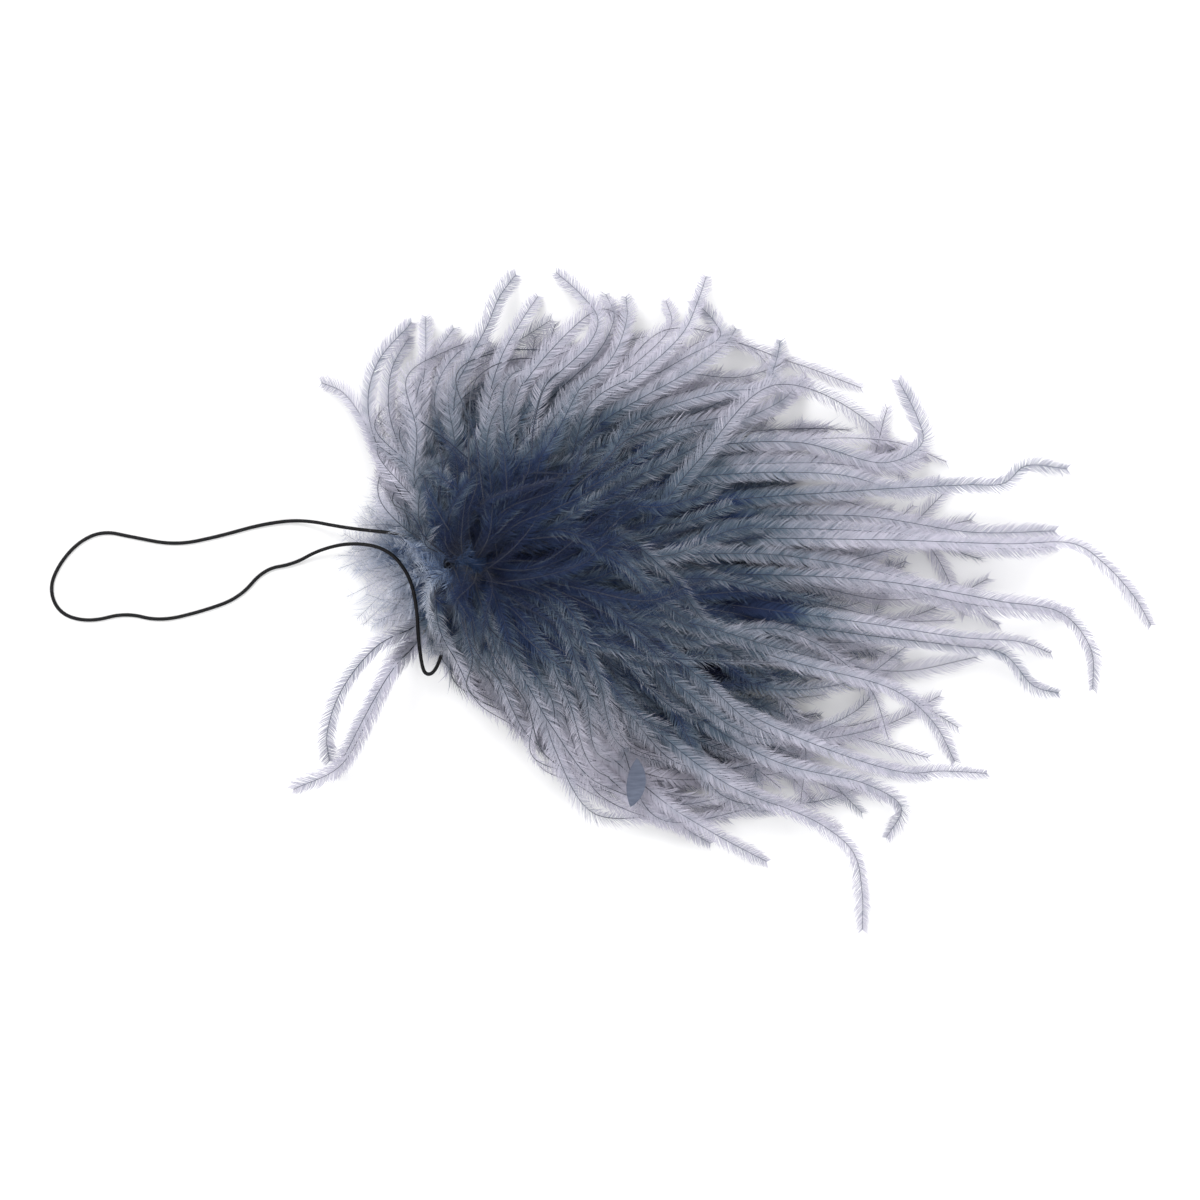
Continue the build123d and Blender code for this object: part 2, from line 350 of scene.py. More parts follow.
def hollow_shade(points):
    """How much darker the strands are painted in the hollows, as shade."""
    shade = np.zeros(len(points))
    for middle, sizes, slope, amount in HOLLOWS:
        away = points[:, :2] - middle
        c, s = math.cos(math.radians(slope)), math.sin(math.radians(slope))
        along = (away[:, 0] * c + away[:, 1] * s) / sizes[0]
        across = (away[:, 1] * c - away[:, 0] * s) / sizes[1]
        shade = shade + amount * np.exp(-HOLLOW_FALLOFF * (along**2 + across**2))
    return shade


def tone_with_painted_shade(points):
    """The tone at places in the plume: the dye's gradient, with painted shade in the dense heart, on
    the lowest strands and in the hollows.
    """
    angle = np.degrees(np.arctan2(points[:, 1], points[:, 0]))
    share = np.linalg.norm(points[:, :2], axis=1) / dense_reach(angle)
    dense = 1 - smooth((share - DEEP_SHARES[0]) / DEEP_SHARES[1])
    depth = 1 - smooth(points[:, 2] / OPEN_HEIGHT)
    hollow = hollow_shade(points) * (OPEN_HOLLOW + (1 - OPEN_HOLLOW) * depth)
    shade = DEEP_SHADE * dense * depth + hollow
    return np.interp(share, TONE_SHARES, TONE_LEVELS) - shade


PRESSED = slice(19, 32)  # the points of the elastic's route that lie on the feathers
PRESS_REACH = (1.6, 5.5)  # how far to its sides it presses them, fully and at all
PRESS_STEP = 0.8
PRESS_DROP = 0.9  # how far under its middle line they pass
PRESS_LIMITS = (0, -36, 12)  # strands are pressed at smaller X, and between these two Y


def under_elastic(points):
    """Presses the strands down where the elastic lies across them."""
    route = np.array(ELASTIC_ROUTE[PRESSED]) / MM
    line = spline_path(route, PRESS_STEP)
    right, low, high = PRESS_LIMITS
    near = np.flatnonzero(
        (points[:, 0] < right) & (points[:, 1] > low) & (points[:, 1] < high)
    )
    gaps = np.linalg.norm(points[near, None, :2] - line[None, :, :2], axis=2)
    closest = gaps.argmin(axis=1)
    gap = gaps.min(axis=1)
    share = 1 - smooth((gap - PRESS_REACH[0]) / (PRESS_REACH[1] - PRESS_REACH[0]))
    top = line[closest, 2] - PRESS_DROP
    z = points[near, 2]
    points[near, 2] = z - share * np.maximum(z - top, 0)
    return points


# The bare shaft tip's open part, in plan, and the height that strands pass under it at.
BLADE_START = np.array([41.3, -50.5])
BLADE_END = np.array([40.0, -59.8])
BLADE_UNDERSIDE = 11.8
BLADE_REACH = (3.4, 12.0)
SQUEEZED = (7.0, 40.0)  # the heights of the strands that are pressed together under it


def under_blade(points):
    """Leads the strands under the bare shaft tip, so that it lies open."""
    run = BLADE_END - BLADE_START
    share = ((points[:, :2] - BLADE_START) @ run / (run @ run)).clip(0, 1)[:, None]
    gap = np.linalg.norm(points[:, :2] - BLADE_START - share * run, axis=1)
    press = 1 - smooth((gap - BLADE_REACH[0]) / (BLADE_REACH[1] - BLADE_REACH[0]))
    low, high = SQUEEZED
    fall = 1 - (BLADE_UNDERSIDE - low) / (high - low)
    points[:, 2] -= press * fall * np.maximum(points[:, 2] - low, 0)
    return points


BARBULE_TONES = np.array([-0.14, -0.14, 0.0, 0.0, 0.16])  # from its foot to its tip
TEETH = 2  # barbules that cling together
TOOTH_REACH = 0.6  # how uneven clinging barbules are, as shares of one barbule's unevenness
TOOTH_LEAN = 28
BARBULE_LEAN = 20
BARBULE_TONE_NOISE = 0.035
BARBULE_JITTER = 0.25  # of the step between two barbules
BARBULE_BEND = 0.28  # radians, towards the strand's tip, at its middle
BARBULE_LIFT = (0.1, 0.05, 0.08)  # how its lift varies, and how it sinks, then sinks on
BARBULE_MIDDLE = 0.55  # the share of its length before its bend
BARBULE_END = 0.45  # and after it
BARBULE_NARROWING = 0.8
SWELL_RUN = 0.16  # the share of the strand over which its vane widens
SWELL_START = 0.25
TIP_NARROWING = 0.4
TIP_SHARES = (0.93, 0.07)  # where the vane narrows, and over how much of the strand
SHAFT_TAPER = 0.7
SHAFT_SECTION = [(0.87, -0.5), (0, 1), (-0.87, -0.5)]
WAVE_TURN = 14  # degrees that a vane rolls to and fro
WAVE_LENGTH = 17
WAVE_PHASES = 6.28
UV_LENGTH = 0.98
LOWEST = 0.12  # height of the lowest barbule above the floor


class Plumage:
    """Gathers strands into one mesh: shafts and barbules, with the attributes that the
    feather material reads."""

    def __init__(self, name):
        self.name = name
        self.points, self.tones, self.shafts, self.uvs = [], [], [], []
        self.quads, self.triangles = [], []
        self.count = 0
        self.strands = 0

    def add(self, points, tones, shaft, uv, quads, triangles):
        self.points.append(points)
        self.tones.append(tones)
        self.shafts.append(np.full(len(points), float(shaft)))
        self.uvs.append(uv + [0, self.strands])
        self.quads.append(quads + self.count)
        self.triangles.append(triangles + self.count)
        self.count += len(points)

    def strand(
        self, path, rng, width=4.6, roll=0.0, twist=0.0, tone=0.0, step=0.45, blade=0.27,
        angle=42.0, root_bare=0.06, shaft=(0.2, 0.08), ragged=0.12, contrast=1.0,
    ):
        """One barb along a path: its shaft, and barbules down both of its sides."""
        along = np.concatenate([[0], np.cumsum(np.linalg.norm(np.diff(path, axis=0), axis=1))])
        tangent = unit(np.gradient(path, axis=0))
        side = unit(np.cross(tangent, [0.0, 0.0, 1.0]) + 1e-6)
        up = np.cross(side, tangent)
        wave = WAVE_TURN * np.sin(along / WAVE_LENGTH + rng.uniform(0, WAVE_PHASES))
        turn = np.radians(roll + twist * along / along[-1] + wave)[:, None]
        side, up = side * np.cos(turn) + up * np.sin(turn), up * np.cos(turn) - side * np.sin(turn)
        lean = (angle, ragged, contrast)
        for hand in (-1, 1):
            self.barbules(
                path, along, tangent, side, up, rng, hand, width, tone, step, blade, lean, root_bare
            )
        self.shaft(path, along, side, up, tone, shaft)
        self.strands += 1

    def barbules(
        self, path, along, tangent, side, up, rng, hand, width, tone, step, blade, lean, root_bare
    ):
        """The barbules down one side of a strand, each swept towards its tip."""
        angle, ragged, contrast = lean
        length = along[-1]
        at = np.arange(length * root_bare + rng.uniform(0, step), length, step)
        n = len(at)
        at = at + rng.uniform(-BARBULE_JITTER, BARBULE_JITTER, n) * step
        share = at / length
        foot, t, s, u = (
            np.stack([np.interp(at, along, v[:, k]) for k in range(3)], axis=1)
            for v in (path, tangent, side, up)
        )
        teeth = np.repeat(rng.normal(0, 1, n // TEETH + 1), TEETH)[:n]
        swell = smooth((share - root_bare) / SWELL_RUN + SWELL_START)
        swell = swell * (1 - TIP_NARROWING * smooth((share - TIP_SHARES[0]) / TIP_SHARES[1]))
        reach = width / 2 / math.sin(math.radians(angle)) * swell
        reach = (reach * (1 + ragged * (rng.normal(0, 1, n) + TOOTH_REACH * teeth)))[:, None]
        stray = ragged * (TOOTH_LEAN * teeth + BARBULE_LEAN * rng.normal(0, 1, n))
        first_lean = np.radians(angle + stray)[:, None]
        second_lean = first_lean - BARBULE_BEND
        varied, sink, more_sink = BARBULE_LIFT
        lift = (varied * rng.normal(0, 1, n) - sink)[:, None]
        first = np.cos(first_lean) * t + hand * np.sin(first_lean) * s + lift * u
        second = np.cos(second_lean) * t + hand * np.sin(second_lean) * s + (2 * lift - more_sink) * u
        middle = foot + first * reach * BARBULE_MIDDLE
        tip = middle + second * reach * BARBULE_END
        wide = t * blade / 2
        narrow = wide * BARBULE_NARROWING
        corners = [foot - wide, foot + wide, middle + narrow, middle - narrow, tip]
        points = np.stack(corners, axis=1)
        uneven = BARBULE_TONE_NOISE * rng.normal(0, 1, n) + BARBULE_TONE_NOISE * teeth
        tones = (tone + tone_with_painted_shade(foot) + uneven)[:, None] + contrast * BARBULE_TONES
        cell = blade / length / 2
        uv = np.zeros((n, 5, 2))
        uv[:, :, 0] = share[:, None] * UV_LENGTH + np.array([-cell, cell, cell, -cell, 0])
        uv[:, :, 1] = 0.5 + hand * np.array([0.06, 0.06, 0.25, 0.25, 0.45])
        here = np.arange(n)[:, None] * 5
        self.add(
            points.reshape(-1, 3), tones.reshape(-1), 0, uv.reshape(-1, 2),
            here + [0, 1, 2, 3], here + [3, 2, 4],
        )

    def shaft(self, path, along, side, up, tone, sizes):
        """A tapered shaft of three sides, closed at both ends."""
        share = along / along[-1]
        radius = (sizes[0] + (sizes[1] - sizes[0]) * share**SHAFT_TAPER)[:, None]
        rings = np.stack([path + radius * (a * side + b * up) for a, b in SHAFT_SECTION], axis=1)
        n = len(path)
        here = np.arange(n - 1)[:, None] * 3
        quads = np.concatenate([here + [k, (k + 1) % 3, (k + 1) % 3 + 3, k + 3] for k in range(3)])
        tones = np.repeat(tone + tone_with_painted_shade(path), 3)
        uv = np.zeros((n, 3, 2))
        uv[:, :, 0] = share[:, None] * UV_LENGTH
        uv[:, :, 1] = 0.5 + np.array([-0.04, 0, 0.04])
        ends = np.array([[0, 2, 1], [3 * n - 3, 3 * n - 2, 3 * n - 1]])
        self.add(rings.reshape(-1, 3), tones, 1, uv.reshape(-1, 2), quads, ends)

    def make(self, material, body, nodes):
        """Turns what was gathered into one piece that rides a body."""
        points = under_blade(under_elastic(np.concatenate(self.points)))
        points[:, 2] = np.maximum(points[:, 2], LOWEST)
        points = points * MM + TIE
        quads, triangles = np.concatenate(self.quads), np.concatenate(self.triangles)
        mesh = bpy.data.meshes.new(self.name)
        mesh.vertices.add(len(points))
        mesh.vertices.foreach_set("co", points.ravel())
        corners = np.concatenate([quads.ravel(), triangles.ravel()])
        starts = np.concatenate([
            np.arange(len(quads)) * 4, len(quads) * 4 + np.arange(len(triangles)) * 3
        ])
        mesh.loops.add(len(corners))
        mesh.loops.foreach_set("vertex_index", corners)
        mesh.polygons.add(len(starts))
        mesh.polygons.foreach_set("loop_start", starts)
        for name, values in (("tone", self.tones), ("shaft", self.shafts)):
            layer = mesh.attributes.new(name, "FLOAT", "POINT")
            layer.data.foreach_set("value", np.concatenate(values))
        uv = np.concatenate(self.uvs)
        uv = np.stack([uv[:, 0].clip(0, 1), uv[:, 1] / self.strands], axis=1)
        mesh.uv_layers.new(name="OFBake").data.foreach_set("uv", uv[corners].ravel())
        mesh.update(calc_edges=True)
        mesh.validate()
        mesh.materials.append(material)
        piece = bpy.data.objects.new(self.name, mesh)
        bpy.context.collection.objects.link(piece)
        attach(piece, body)
        if nodes:
            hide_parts(*nodes)
        print(self.name, self.strands, "strands", len(quads) * 2 + len(triangles), "triangles")
        return piece


# ---- how the strands lie ------------------------------------------------------------
# How far a strand turns for each degree of its angle, and the angle at which that stops growing,
# above the plume's middle line and below it. It starts turned away from that line, and its
# end turns towards it.
START_TURN = ((0.3, 62), (0.14, -80))
END_TURN = ((0.5, 75), (0.42, -80))
ROOT_SPREAD = (3.6, 2.6)  # how far the roots lie from the tie, along X and along Y
ROOT_REACH = 1.5
FIRST_SHARE = 0.3  # the share of its length that a strand runs before it bends over
LAST_SHARE = 0.22
PATH_STEP = 1.7
MIDDLE_STRAY = 0.03
PEAK = (5, 31, 1.5)  # its height in the lowest layer, what layers add, and its scatter
SINK = (1.5, 10)  # the tip's height, and what layers add
LEAST_HEIGHT = 0.8


def direction(angle):
    return np.array([math.cos(math.radians(angle)), math.sin(math.radians(angle)), 0.0])


def start_angle(angle):
    """Strands leave the tie wider than they end, as a fountain's jets do."""
    (above, most), (below, least) = START_TURN
    return angle + above * min(angle, most) if angle > 0 else angle + below * max(angle, least)


def end_angle(angle):
    """Their tips bend back towards the plume's length."""
    (above, most), (below, least) = END_TURN
    return angle - above * min(angle, most) if angle > 0 else angle - below * max(angle, least)


def fountain(angle, length, layer, rng, hook=0.0, sway=0.0, curl=0.08, drift=0.0):
    """A strand's path from the tie: it rises with its layer, and ends at that angle. Its
    outer part turns by drift degrees, and its last share, curl, by hook degrees more."""
    outward = end_angle(angle) + drift
    tip = direction(angle) * length
    scatter = np.array([rng.normal(0, ROOT_SPREAD[0]), rng.normal(0, ROOT_SPREAD[1]), 0.0])
    root = direction(start_angle(angle)) * ROOT_REACH + scatter
    first = root + direction(start_angle(angle) + sway) * length * FIRST_SHARE
    last = tip - direction(outward + 0.5 * hook) * length * (LAST_SHARE + curl)
    near = tip - direction(outward + hook) * length * curl
    middle = (first + last) / 2 + direction(angle + 90) * rng.normal(0, MIDDLE_STRAY) * length
    peak = PEAK[0] + PEAK[1] * layer + rng.normal(0, PEAK[2])
    sink = SINK[0] + SINK[1] * layer * rng.random()
    heights = [
        10 + 5 * layer + rng.normal(0, 1.4), 9 + 0.72 * peak, 4 + 0.9 * peak,
        0.55 * peak + 0.45 * sink + 2, sink + 0.8, sink,
    ]
    points = [root, first, middle, last, near, tip]
    places = [(p[0], p[1], max(z, LEAST_HEIGHT)) for p, z in zip(points, heights)]
    return spline_path(places, PATH_STEP)


FANS = {
    # body: (lowest and highest angle, locks in each layer, loose strands, dark shafts)
    "fan_upper_left": (84, 120, (4, 4, 3), 11, 2),
    "fan_top": (56, 84, (5, 5, 3), 20, 4),
    "fan_upper_right": (34, 56, (5, 5, 4), 20, 4),
    "fan_right_high": (12, 34, (5, 5, 5), 17, 4),
    "binding": (-28, 12, (8, 8, 0), 22, 0),
    "crown": (-26, 10, (0, 4, 9), 6, 5),
    "fan_lower_right": (-50, -28, (6, 7, 6), 22, 4),
    "fan_lower": (-74, -50, (5, 4, 3), 10, 3),
    "fan_bottom": (-104, -74, (4, 3, 1), 3, 0),
}
LOW_LAYER = 0.3
HIGH_LAYER = 0.65
LAYERS = ((0.0, LOW_LAYER), (LOW_LAYER, HIGH_LAYER), (HIGH_LAYER, 1.0))
COARSE = {"step": 0.62, "blade": 0.36}  # the lowest layer, which is mostly hidden
LOCK_SHARES = (0.62, 0.96)  # how far locks reach, as shares of the dense plume
HIGH_SHARES = (0.5, 0.88)  # and the locks of the highest layer
LOCK_HOOK = 24
LOCK_SWAY = 9
LOCK_STRANDS = (4, 6)  # from, and up to but not with
LOOSE_SHARES = (0.9, 1.18)
LOOSE_SHARES_UP = (0.9, 1.1)
LOOSE_LIMIT = 138.0  # the longest loose strand, in millimetres
LOOSE_HOOK = 32
LOOSE_DRIFT = 15
TOP_EDGE = 34  # strands above this angle are at the top edge
BOTTOM_EDGE = -50  # and strands below this one at the bottom
FINE = {"step": 0.32, "blade": 0.17, "contrast": 1.35}  # the highest, which shows each barbule


def add_locks(plumage, low, high, counts, rng):
    """Locks of strands that keep together, as barbs of one feather do."""
    for (bottom, top), count in zip(LAYERS, counts):
        for i in range(count):
            angle = low + (high - low) * (i + rng.uniform(0.2, 0.8)) / count
            layer = rng.uniform(bottom, top)
            share = rng.uniform(*LOCK_SHARES) if layer < HIGH_LAYER else rng.uniform(*HIGH_SHARES)
            length = dense_reach(angle) * share
            hook, sway = rng.normal(0, LOCK_HOOK), rng.normal(0, LOCK_SWAY)
            tone = rng.normal(0.0, 0.08)
            for _ in range(rng.integers(*LOCK_STRANDS)):
                one = np.clip(angle + rng.normal(0, 3.0), low - 1, high + 1)
                height = np.clip(layer + rng.normal(0, 0.04), 0, 1)
                path = fountain(
                    one, length * rng.uniform(0.84, 1.1), height, rng, hook + rng.normal(0, 12),
                    sway + rng.normal(0, 4), rng.uniform(0.08, 0.14),
                )
                plumage.strand(
                    path, rng, width=rng.uniform(4.0, 5.8), roll=rng.normal(0, 20),
                    twist=rng.normal(0, 34), tone=tone + rng.normal(0, 0.085),
                    **(COARSE if layer < LOW_LAYER else FINE if layer > HIGH_LAYER else {}),
                )


def hook_limits(angle):
    """How far a loose strand's tip may bend: up at the top edge, and little at the bottom."""
    if angle > TOP_EDGE:
        return -22, 48
    if angle < BOTTOM_EDGE:
        return -24, 18
    return -48, 48


def drift_limits(angle):
    """How far a loose strand's outer part may turn, which is less at both edges."""
    return -24 if angle < TOP_EDGE else -8, 24 if angle > BOTTOM_EDGE else 8


def add_loose(plumage, low, high, count, rng):
    """Single strands that run out past the dense plume, with their tips curled."""
    for i in range(count):
        angle = low + (high - low) * (i + rng.uniform(0.0, 1.0)) / count
        stretch = rng.uniform(*(LOOSE_SHARES if angle < TOP_EDGE else LOOSE_SHARES_UP))
        length = min(dense_reach(angle) * stretch, LOOSE_LIMIT)
        curl = rng.uniform(0.1, 0.2)
        hook = np.clip(rng.normal(0, LOOSE_HOOK), *hook_limits(angle))
        drift = np.clip(rng.normal(0, LOOSE_DRIFT), *drift_limits(angle))
        path = fountain(
            angle, length, rng.uniform(0.1, 0.75), rng, hook, rng.normal(0, 5), curl, drift
        )
        plumage.strand(
            path, rng, width=rng.uniform(4.8, 6.4), roll=rng.normal(0, 14),
            twist=rng.normal(0, 32), tone=rng.normal(0.02, 0.06), step=0.34, blade=0.24,
            ragged=0.08,
        )


def add_dark_shafts(plumage, low, high, count, rng):
    """Long shafts with little left on them, which arc over the top of the plume."""
    for i in range(count):
        angle = low + (high - low) * (i + rng.uniform(0.1, 0.9)) / count
        length = dense_reach(angle) * rng.uniform(0.7, 1.0)
        path = fountain(
            angle, length, rng.uniform(0.8, 0.97), rng, rng.normal(0, 26), rng.normal(0, 12), 0.2
        )
        plumage.strand(
            path, rng, width=rng.uniform(0.5, 1.6), roll=rng.normal(0, 40), tone=-0.25,
            shaft=(0.24, 0.12), step=0.6, blade=0.2,
        )


# Strands that stand out at the plume's edge: points from the tie, in plan.
EDGE_STRANDS = {
    "fan_upper_left": [
        [(-4, 5), (-15, 16), (-21, 26), (-26, 36), (-31, 42.5), (-37, 45.5)],
        [(-5, 6), (-14, 14), (-21, 26), (-24.5, 39), (-22.5, 50), (-14.5, 60.5)],
        [(-4, 6), (-7.5, 21), (-11, 36), (-10.5, 51), (-11, 62)],
        [(-3, 8), (-10, 24), (-12.5, 39), (-10, 49), (-4, 59)],
        [(-3, 8), (-13, 22), (-19, 36), (-19, 48), (-15, 57)],
        [(-2, 10), (-6, 28), (-8, 42), (-3, 52), (4.5, 56)],
    ],
    "fan_top": [
        [(-2, 9), (-6, 36), (0, 49), (5, 59), (7.5, 66), (11.5, 72.5)],
        [(0, 10), (4, 35), (8, 50), (13, 60), (17, 67)],
        [(2, 12), (16, 40), (30, 54), (32, 60), (28, 66.5), (21.5, 73)],
        [(2, 12), (18, 38), (32, 52), (36, 61), (34, 67.5)],
        [(2, 12), (20, 36), (35, 50), (39, 60), (39, 67)],
        [(0, 12), (10, 38), (24, 56), (33, 63), (40, 60)],
    ],
    "fan_upper_right": [
        [(3, 10), (22, 36), (42, 50), (50, 59), (49, 66)],
        [(3, 10), (26, 34), (44, 48), (53, 57), (57, 66), (59, 72)],
        [(4, 9), (30, 36), (52, 50), (62, 56), (61, 60), (56, 66)],
        [(4, 9), (32, 34), (54, 47), (63, 54), (66.5, 59)],
        [(5, 8), (34, 32), (60, 42), (73, 44), (76, 50), (77.5, 56)],
    ],
    "fan_right_high": [
        [(5, 8), (38, 30), (62, 36), (76, 39), (84, 47)],
        [(5, 8), (40, 28), (66, 35), (78, 41), (82, 46)],
        [(6, 7), (45, 26), (80, 30), (103, 25), (112, 30), (111, 37), (107, 46)],
        [(6, 6), (48, 22), (84, 25), (104, 24), (114, 27)],
        [(6, 6), (48, 20), (90, 22), (108, 18), (117, 21)],
    ],
    "binding": [
        [(6, 4), (50, 14), (95, 18), (122, 19.5), (132, 20), (138, 24.5), (149, 24)],
        [(6, 3), (50, 10), (95, 12), (125, 8), (146, 8.5)],
        [(6, 2), (50, 8), (100, 8), (130, 4), (146, 4.5)],
        [(6, 2), (50, 6), (100, 6), (132, 5), (149, 5), (157, 0), (165, -8), (170, -15)],
        [(6, 0), (55, -2), (100, -4), (130, -9), (146, -12), (154, -21), (155.5, -31)],
        [(6, 0), (50, -2), (95, -4), (125, -10), (138, -11), (150, -12)],
        [(6, -2), (50, -8), (95, -14), (122, -18), (136, -19), (145, -22)],
        [(6, -2), (50, -10), (95, -17), (120, -20), (132, -22), (140, -30), (147, -32)],
        [(6, -2), (46, -14), (80, -24), (105, -31), (115, -39), (121, -49)],
        [(6, 1), (50, 4), (92, 0), (118, -7), (132, -15)],
    ],
    "fan_lower_right": [
        [(5, -4), (45, -24), (80, -42), (107, -51), (117, -51), (129, -52)],
        [(5, -4), (45, -30), (75, -48), (98, -54), (107, -60), (104, -68)],
        [(4, -5), (40, -36), (70, -56), (87, -64), (95, -71), (97.5, -81), (98, -91)],
        [(4, -5), (38, -34), (64, -54), (84, -62), (92, -66)],
    ],
    "fan_lower": [
        [(3, -6), (24, -36), (45, -56), (60, -66), (74, -74)],
        [(3, -6), (22, -34), (42, -54), (52, -64), (60, -69.5)],
        [(3, -7), (18, -34), (34, -52), (46, -62), (56, -66)],
    ],
    "fan_bottom": [
        [(-4, -5), (-11, -16), (-18, -24), (-25, -39), (-32, -50), (-44, -56)],
        [(-5, -6), (-13, -15), (-22, -20), (-31, -31), (-35, -42), (-35, -49)],
        [(-5, -7), (-12, -18), (-19, -27), (-25, -37), (-30, -46), (-34, -52)],
    ],
}


def add_edge_strands(plumage, routes, rng):
    """Single strands along given routes, highest a little way out from the tie."""
    for route in routes:
        n = len(route)
        peak = rng.uniform(9, 18)
        share = [i / (n - 1) for i in range(n)]
        heights = [
            11 + 2 * math.sin(math.pi * f) + 0.6 * peak * math.sin(math.pi * f**0.8) - 9.5 * f
            for f in share
        ]
        points = [(x, y, max(z, 1.0)) for (x, y), z in zip(route, heights)]
        plumage.strand(
            spline_path(points, PATH_STEP), rng, width=rng.uniform(5.2, 6.6),
            roll=rng.normal(0, 8), twist=rng.normal(0, 16), tone=rng.normal(0.0, 0.04),
            step=0.33, blade=0.32, ragged=0.05,
        )


def make_fans(material):
    """One piece of strands for each body that carries them."""
    replaced = {
        "fan_upper_left": ["tuft_upper_left", "top_tuft_upper_left"],
        "fan_top": ["tuft_top", "top_tuft_top"],
        "fan_upper_right": ["tuft_upper_right", "top_tuft_upper_right"],
        "fan_right_high": ["tuft_right_high", "top_tuft_right_high"],
        "binding": ["tuft_right", "tuft_right_low"],
        "crown": ["crown_right", "crown_low", "stem_crown"],
        "fan_lower_right": ["tuft_lower_right", "top_tuft_lower_right"],
        "fan_lower": ["tuft_lower", "top_tuft_lower"],
        "fan_bottom": ["tuft_bottom", "wisp_lower_left"],
    }
    for i, (body, (low, high, counts, loose, shafts)) in enumerate(FANS.items()):
        rng = np.random.default_rng(SEED + i)
        plumage = Plumage("strands_" + body.replace("fan_", ""))
        add_locks(plumage, low, high, counts, rng)
        add_loose(plumage, low, high, loose, rng)
        add_dark_shafts(plumage, low, high, shafts, rng)
        add_edge_strands(plumage, EDGE_STRANDS.get(body, []), rng)
        plumage.make(material, body, replaced[body])


# ---- down about the butts -----------------------------------------------------------
DOWN_COUNT = 170
DOWN_ANGLES = (118, 252)
DOWN_LENGTHS = (15, 34)
DOWN_STEP = 0.9
WHORL_LENGTHS = (9, 18)
WHORL_HEIGHTS = (16, 22)
WHORL_COUNT = 46
WHORL_MIDDLE = np.array([-4.5, 0.0, 0.0])  # over the butts and the knot


def make_down(material):
    """Fine down that radiates from the butts, and short strands that whorl over the tie."""
    rng = np.random.default_rng(SEED + 50)
    plumage = Plumage("down_about_butts")
    for _ in range(DOWN_COUNT):
        angle = rng.uniform(*DOWN_ANGLES)
        length = rng.uniform(*DOWN_LENGTHS) * (1 - 0.2 * abs(angle - 180) / 60)
        start = direction(angle + rng.normal(0, 16)) * rng.uniform(1, 7)
        tip = direction(angle) * length
        middle = (start + tip) / 2 + direction(angle + 90) * rng.normal(0, 0.12) * length
        high, low = rng.uniform(5, 12.5), rng.uniform(0.8, 3.5)
        points = [(*start[:2], high), (*middle[:2], (high + low) / 2 - 1.5), (*tip[:2], low)]
        plumage.strand(
            spline_path(points, DOWN_STEP), rng, width=rng.uniform(4, 8), roll=rng.normal(0, 50),
            twist=rng.normal(0, 90), tone=rng.normal(0.0, 0.07), step=0.4, blade=0.14, angle=50,
            root_bare=0.0, shaft=(0.1, 0.04), ragged=0.3,
        )
    for _ in range(WHORL_COUNT):
        angle = rng.uniform(0, 360)
        length = rng.uniform(*WHORL_LENGTHS)
        start = WHORL_MIDDLE + direction(angle + 100) * rng.uniform(0.5, 5)
        tip = start + direction(angle) * length
        middle = (start + tip) / 2 + direction(angle - 90) * rng.uniform(0.1, 0.3) * length
        top = rng.uniform(*WHORL_HEIGHTS)
        points = [(*start[:2], top), (*middle[:2], top + 2.5), (*tip[:2], top - 1)]
        plumage.strand(
            spline_path(points, DOWN_STEP), rng, width=rng.uniform(3, 5), roll=rng.normal(0, 30),
            twist=rng.normal(0, 60), tone=rng.normal(0.02, 0.05), blade=0.2, angle=48,
            shaft=(0.14, 0.06), ragged=0.2,
        )
    plumage.make(material, "binding", ["down_upper", "down_left", "down_lower"])


# ---- stage --------------------------------------------------------------------------
FLOOR_SIZE = 3.0
FLOOR_SHADE = 0.93
FLOOR_ROUGHNESS = 0.9
WORLD_STRENGTH = 1.1
LAMPS = (
    # name, place in metres, size, power in watts
    ("key", (-0.5, 0.8, 1.2), 0.7, 10.0),
    ("fill", (0.9, -0.5, 1.1), 1.3, 4.0),
)


def make_stage():
    """A pale floor, an even studio and two soft lamps."""
    data = bpy.data.meshes.new("floor")
    near, far = -FLOOR_SIZE, FLOOR_SIZE
    corners = [(near, near, 0), (far, near, 0), (far, far, 0), (near, far, 0)]
    data.from_pydata(corners, [], [(0, 1, 2, 3)])
    floor = bpy.data.objects.new("floor", data)
    bpy.context.collection.objects.link(floor)
    material, _, _, shader = new_material("floor_pale", FLOOR_ROUGHNESS)
    shader.inputs["Base Color"].default_value = (FLOOR_SHADE, FLOOR_SHADE, FLOOR_SHADE, 1)
    data.materials.append(material)
    world = bpy.data.worlds.new("studio")
    bpy.context.scene.world = world
    world.use_nodes = True
    background = world.node_tree.nodes["Background"]
    background.inputs["Color"].default_value = (1.0, 1.0, 1.0, 1)
    background.inputs["Strength"].default_value = WORLD_STRENGTH
    for name, place, size, power in LAMPS:
        light = bpy.data.lights.new(name, "AREA")
        light.size = size
        light.energy = power
        lamp = bpy.data.objects.new(name, light)
        lamp.location = place
        lamp.rotation_euler = (-Vector(place)).to_track_quat("-Z", "Y").to_euler()
        bpy.context.collection.objects.link(lamp)
    bpy.context.scene.view_settings.view_transform = "Standard"


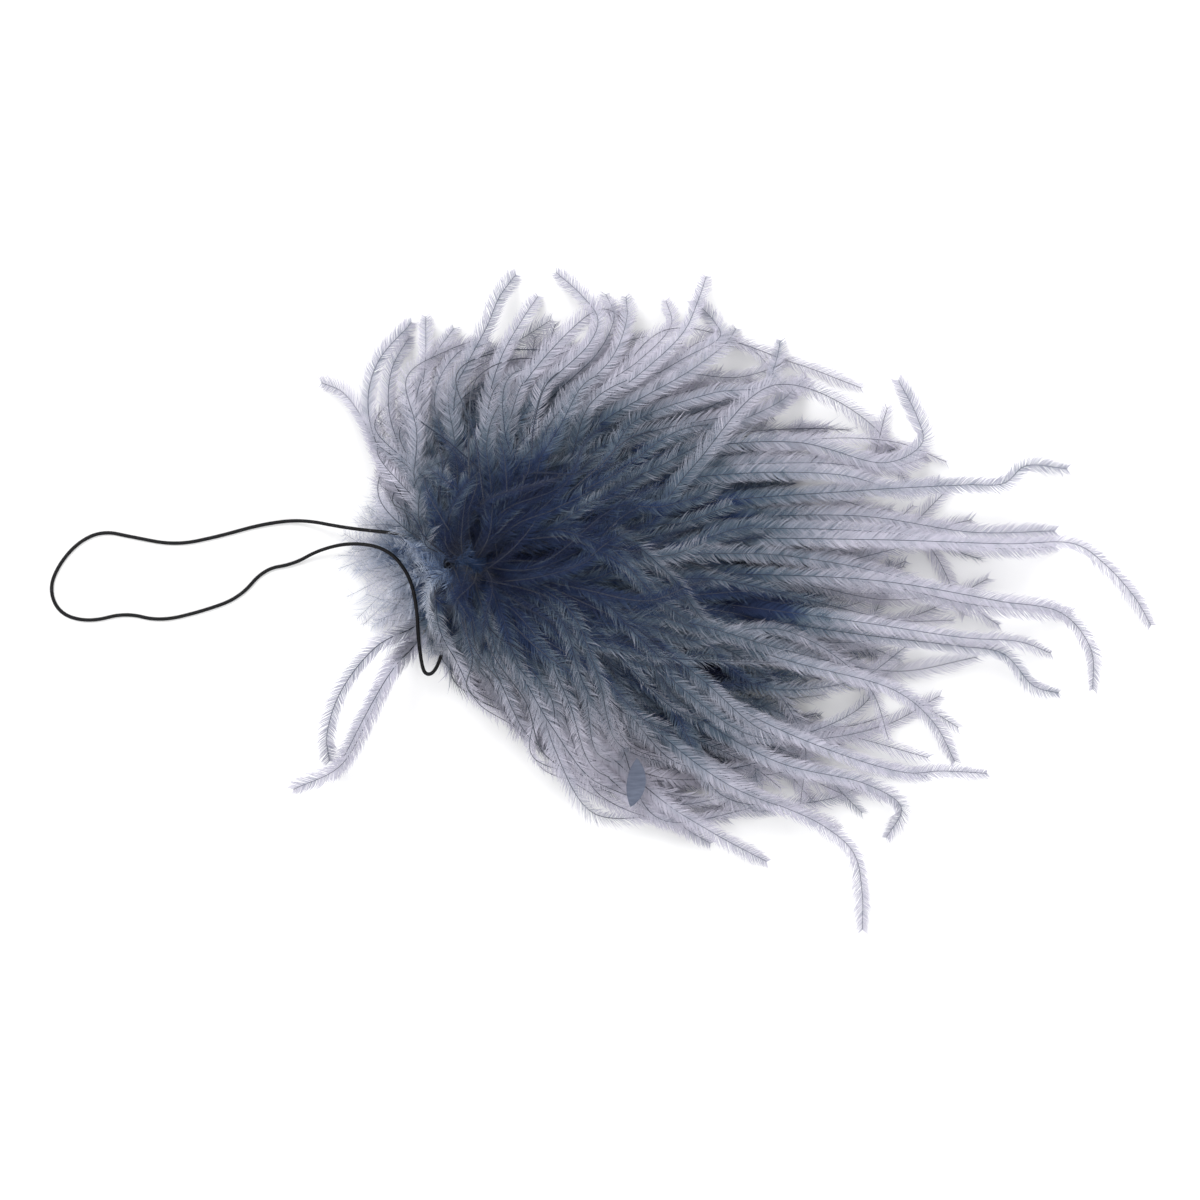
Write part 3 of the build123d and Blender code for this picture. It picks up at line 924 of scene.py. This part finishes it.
# ---- the whole plume ----------------------------------------------------------------
# Colours that the tone reads, from navy to pale; the tone carries painted shade as well as the dye.
STRAND_STOPS = [
    (0.0, (0.001, 0.006, 0.034)), (0.28, (0.009, 0.024, 0.075)), (0.5, (0.082, 0.114, 0.155)),
    (0.72, (0.27, 0.285, 0.35)), (1.0, (0.5, 0.485, 0.575)),
]
STRAND_SHAFT = (0.014, 0.02, 0.04)
DOWN_STOPS = [
    (0.0, (0.014, 0.036, 0.1)), (0.28, (0.1, 0.15, 0.27)), (0.5, (0.3, 0.36, 0.48)),
    (0.72, (0.48, 0.52, 0.62)), (1.0, (0.62, 0.62, 0.7)),
]
DOWN_SHAFT = (0.05, 0.07, 0.12)

STEMS = [n for n in frame["nodes"] if n.startswith("stem_")]
# Name, lowest and highest colour, noise scale, stretch, roughness, relief; and its CAD nodes.
GRAINED = [
    (
        ("quill_dyed", (0.008, 0.014, 0.03), (0.03, 0.042, 0.075), 300.0, (1, 6, 6), 0.45, 0.3),
        ["quill_butts", *STEMS],
    ),
    (
        ("shaft_horn", (0.055, 0.068, 0.11), (0.11, 0.13, 0.185), 260.0, (1, 5, 5), 0.6, 0.3),
        ["bare_shaft_tip"],
    ),
    (
        ("tape_cloth", (0.02, 0.025, 0.045), (0.06, 0.07, 0.1), 1500.0, (1, 3, 3), 0.85, 0.6),
        ["binding_tape"],
    ),
    (
        ("thread_twist", (0.015, 0.02, 0.035), (0.06, 0.07, 0.1), 2500.0, (4, 1, 1), 0.7, 0.7),
        ["binding_thread"],
    ),
    (
        ("glue_amber", (0.3, 0.26, 0.18), (0.5, 0.45, 0.34), 400.0, (1, 1, 1), 0.3, 0.4),
        ["glue_cap"],
    ),
]

make_camera()
ELASTIC = elastic_material()
make_elastic(ELASTIC)
dress(ELASTIC, "elastic_knot", "elastic_hitch")
for look, nodes in GRAINED:
    dress(grained_material(*look), *nodes)
make_fans(feather_material("feather_slate", STRAND_STOPS, STRAND_SHAFT))
make_down(feather_material("down_slate", DOWN_STOPS, DOWN_SHAFT))
make_stage()
